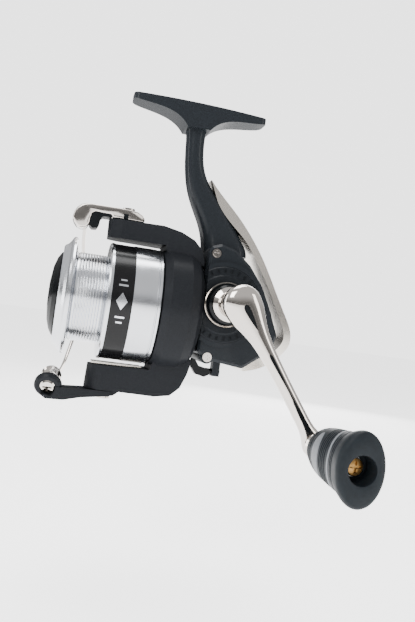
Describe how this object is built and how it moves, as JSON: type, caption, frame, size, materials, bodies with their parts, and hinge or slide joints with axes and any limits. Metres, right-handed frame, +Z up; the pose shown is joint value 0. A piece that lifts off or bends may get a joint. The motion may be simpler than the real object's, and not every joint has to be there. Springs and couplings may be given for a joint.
{
  "type": "spinning reel",
  "caption": "Front-drag spinning reel hung from a foot, with an oscillating spool inside a two-armed rotor, folding bail, face-gear crank and swivelling knob.",
  "frame": {"origin": "middle of the foot's flat top face, where the rod's reel seat bears", "axes": "+Z up out of the foot, -X towards the front of the spool, -Y towards the crank handle"},
  "size_m": [0.112, 0.1279, 0.1426],
  "materials": {
    "body_charcoal": "satin charcoal",
    "rotor_charcoal": "satin charcoal",
    "disc_black": "matt black",
    "gloss_black": "gloss black",
    "guard_silver": "brushed champagne",
    "spool_silver": "bright machined",
    "band_black": "satin black",
    "chrome": "polished",
    "steel": "ground",
    "cast_zinc": "die cast",
    "brass": "machined",
    "grip_rubber": "soft, blue-grey",
    "grip_inlay": "light grey",
    "white_plastic": "natural",
    "felt": "felt"
  },
  "bodies": {
    "body": {"body_frame": "body_charcoal", "guide_rod": "steel", "side_cover": "body_charcoal", "cover_disc": "disc_black", "side_cover_screws": "chrome", "rear_guard": "guard_silver", "handle_side_bearing": "steel", "far_side_bearing": "steel", "pinion_bearing": "steel", "clutch_housing": "cast_zinc", "clutch_screws": "steel", "clutch_rollers": "steel", "clutch_cage": "disc_black"},
    "crank": {"crank_shaft": "steel", "drive_gear": "cast_zinc", "oscillation_drive_gear": "cast_zinc", "handle_collar": "gloss_black", "collar_ring": "chrome", "handle_neck": "chrome", "knob_post": "chrome", "handle_arm": "chrome", "arm_inlays": "disc_black", "handle_cap": "gloss_black", "knob_screw": "brass"},
    "knob": {"knob_inlays": "grip_inlay", "knob_grip": "grip_rubber", "knob_core": "white_plastic", "knob_bushes": "white_plastic"},
    "cam_gear": {"oscillation_gear": "cast_zinc"},
    "rotor": {"pinion_gear": "brass", "clutch_sleeve": "steel", "rotor": "rotor_charcoal", "upper_arm_cover": "rotor_charcoal", "lower_arm_cover": "rotor_charcoal", "bail_spring": "steel", "balance_weight": "cast_zinc", "lower_arm_strip": "guard_silver", "rotor_nut": "brass", "rotor_nut_lock": "steel", "bail_pivot_screws": "chrome"},
    "bail": {"bail_holder": "chrome", "roller_arm": "rotor_charcoal", "roller_screw": "chrome", "bail_cone": "chrome", "bail_wire": "chrome"},
    "roller": {"line_roller": "chrome"},
    "shaft": {"main_shaft": "steel", "oscillation_slider": "cast_zinc", "spool_seat": "gloss_black"},
    "spool": {"spool": "spool_silver", "spool_band": "band_black", "band_mark": "spool_silver", "drag_washers_metal": "steel", "drag_washers_felt": "felt", "drag_clip": "steel"},
    "drag_knob": {"drag_knob": "gloss_black", "drag_nut": "brass", "drag_spring": "steel"},
    "lever": {"anti_reverse_lever": "gloss_black"}
  },
  "joints": [
    {"name": "crank_turn", "type": "hinge", "parent": "body", "child": "crank", "pos_m": [0.018, 0, -0.0824], "axis": [0, -1, 0], "continuous": true},
    {"name": "rotor_spin", "type": "hinge", "parent": "body", "child": "rotor", "pos_m": [-0.002, 0, -0.087], "axis": [1, 0, 0], "continuous": true},
    {"name": "cam_gear_spin", "type": "hinge", "parent": "body", "child": "cam_gear", "pos_m": [0.02876, 0, -0.087], "axis": [0, -1, 0], "continuous": true},
    {"name": "spool_stroke", "type": "slide", "parent": "body", "child": "shaft", "axis": [1, 0, 0], "range_m": [-0.011, 0]},
    {"name": "spool_slip", "type": "hinge", "parent": "shaft", "child": "spool", "pos_m": [-0.032, 0, -0.087], "axis": [1, 0, 0], "continuous": true},
    {"name": "drag_knob_turn", "type": "hinge", "parent": "shaft", "child": "drag_knob", "pos_m": [-0.047, 0, -0.087], "axis": [1, 0, 0], "range_deg": [-180, 180]},
    {"name": "bail_flip", "type": "hinge", "parent": "rotor", "child": "bail", "pos_m": [-0.024, 0, -0.087], "axis": [0, 0, 1], "range_deg": [0, 100]},
    {"name": "line_roller_spin", "type": "hinge", "parent": "bail", "child": "roller", "pos_m": [-0.0467, -0.0096, -0.1237], "axis": [0.1002, 0.8818, 0.4609], "continuous": true},
    {"name": "knob_spin", "type": "hinge", "parent": "crank", "child": "knob", "pos_m": [0.0516, -0.066, -0.1302], "axis": [0, -1, 0], "continuous": true},
    {"name": "anti_reverse_switch", "type": "hinge", "parent": "body", "child": "lever", "pos_m": [0.015, -0.006, -0.1104], "axis": [1, 0, 0], "range_deg": [0, 25]}
  ],
  "couplings": [
    {"joint": "rotor_spin", "follows": "crank_turn", "ratio": 5},
    {"joint": "cam_gear_spin", "follows": "crank_turn", "ratio": -0.5}
  ]
}
